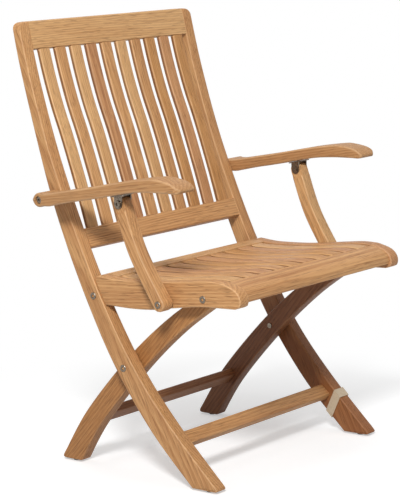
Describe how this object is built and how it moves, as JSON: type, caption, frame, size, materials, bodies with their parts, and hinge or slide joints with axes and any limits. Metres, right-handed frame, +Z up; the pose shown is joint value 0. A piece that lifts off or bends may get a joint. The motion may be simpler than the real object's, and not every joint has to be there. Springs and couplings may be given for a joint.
{
  "type": "folding armchair",
  "caption": "Folding slatted teak armchair with a tall curved back, a contoured seat, flat armrests on posts and crossed legs.",
  "frame": {"origin": "on the floor, in the middle of the box round the whole unfolded chair", "axes": "+X to the side with the band on its front foot, across the chair and along every hinge axis; +Y to the back; +Z up"},
  "size_m": [0.665, 0.5744, 0.924],
  "materials": {
    "teak": "oiled teak, satin",
    "pale_teak": "oiled teak, satin",
    "red_teak": "oiled teak, satin",
    "steel": "satin",
    "rubber": "matte",
    "band": "matte"
  },
  "bodies": {
    "back_frame": {"stile_left": "teak", "stile_right": "teak", "top_rail": "pale_teak", "lower_back_rail": "teak", "back_slat_1": "teak", "back_slat_2": "pale_teak", "back_slat_3": "red_teak", "back_slat_4": "teak", "back_slat_5": "pale_teak", "back_slat_6": "red_teak", "back_slat_7": "teak", "back_slat_8": "pale_teak", "back_slat_9": "red_teak", "back_slat_10": "teak", "front_stretcher": "teak", "hinge_plate_left": "steel", "hinge_plate_right": "steel", "hinge_bolt_left": "steel", "hinge_bolt_right": "steel", "leg_bolt_left": "steel", "leg_bolt_right": "steel", "arm_bolt_left": "steel", "arm_bolt_right": "steel", "front_glide_left": "rubber", "front_glide_right": "rubber", "foot_band": "band"},
    "seat": {"side_rail_left": "teak", "side_rail_right": "teak", "front_rail": "pale_teak", "rear_rail": "pale_teak", "seat_slat_1": "pale_teak", "seat_slat_2": "teak", "seat_slat_3": "red_teak", "seat_slat_4": "pale_teak", "seat_slat_5": "teak", "seat_slat_6": "red_teak", "seat_slat_7": "pale_teak", "seat_slat_8": "teak", "seat_slat_9": "red_teak", "seat_slat_10": "pale_teak", "seat_batten": "teak", "seat_bolt_left": "steel", "seat_bolt_right": "steel", "post_pin_left": "steel", "post_pin_right": "steel"},
    "rear_legs": {"rear_leg_left": "red_teak", "rear_leg_right": "red_teak", "rear_stretcher": "red_teak", "rear_glide_left": "rubber", "rear_glide_right": "rubber"},
    "arm_left": {"armrest_left": "teak", "arm_bracket_left": "steel"},
    "arm_right": {"armrest_right": "teak", "arm_bracket_right": "steel"},
    "post_left": {"arm_post_left": "teak", "post_bolt_left": "steel"},
    "post_right": {"arm_post_right": "teak", "post_bolt_right": "steel"}
  },
  "joints": [
    {"name": "seat_fold", "type": "hinge", "parent": "back_frame", "child": "seat", "pos_m": [0, 0.07869, 0.40397], "axis": [-1, 0, 0], "range_deg": [0, 102]},
    {"name": "rear_leg_fold", "type": "hinge", "parent": "back_frame", "child": "rear_legs", "pos_m": [0, 0.01868, 0.2286], "axis": [-1, 0, 0], "range_deg": [0, 56.1]},
    {"name": "arm_fold_left", "type": "hinge", "parent": "back_frame", "child": "arm_left", "pos_m": [-0.3045, 0.17836, 0.57002], "axis": [-1, 0, 0], "range_deg": [0, 102]},
    {"name": "arm_fold_right", "type": "hinge", "parent": "back_frame", "child": "arm_right", "pos_m": [0.3045, 0.17836, 0.57002], "axis": [-1, 0, 0], "range_deg": [0, 102]},
    {"name": "post_turn_left", "type": "hinge", "parent": "arm_left", "child": "post_left", "pos_m": [-0.2915, -0.01525, 0.57048], "axis": [1, 0, 0], "range_deg": [0, 89.76]},
    {"name": "post_turn_right", "type": "hinge", "parent": "arm_right", "child": "post_right", "pos_m": [0.2915, -0.01525, 0.57048], "axis": [1, 0, 0], "range_deg": [0, 89.76]}
  ],
  "couplings": [
    {"joint": "rear_leg_fold", "follows": "seat_fold", "ratio": 0.55},
    {"joint": "arm_fold_left", "follows": "seat_fold", "ratio": 1},
    {"joint": "arm_fold_right", "follows": "seat_fold", "ratio": 1},
    {"joint": "post_turn_left", "follows": "seat_fold", "ratio": 0.88},
    {"joint": "post_turn_right", "follows": "seat_fold", "ratio": 0.88}
  ]
}
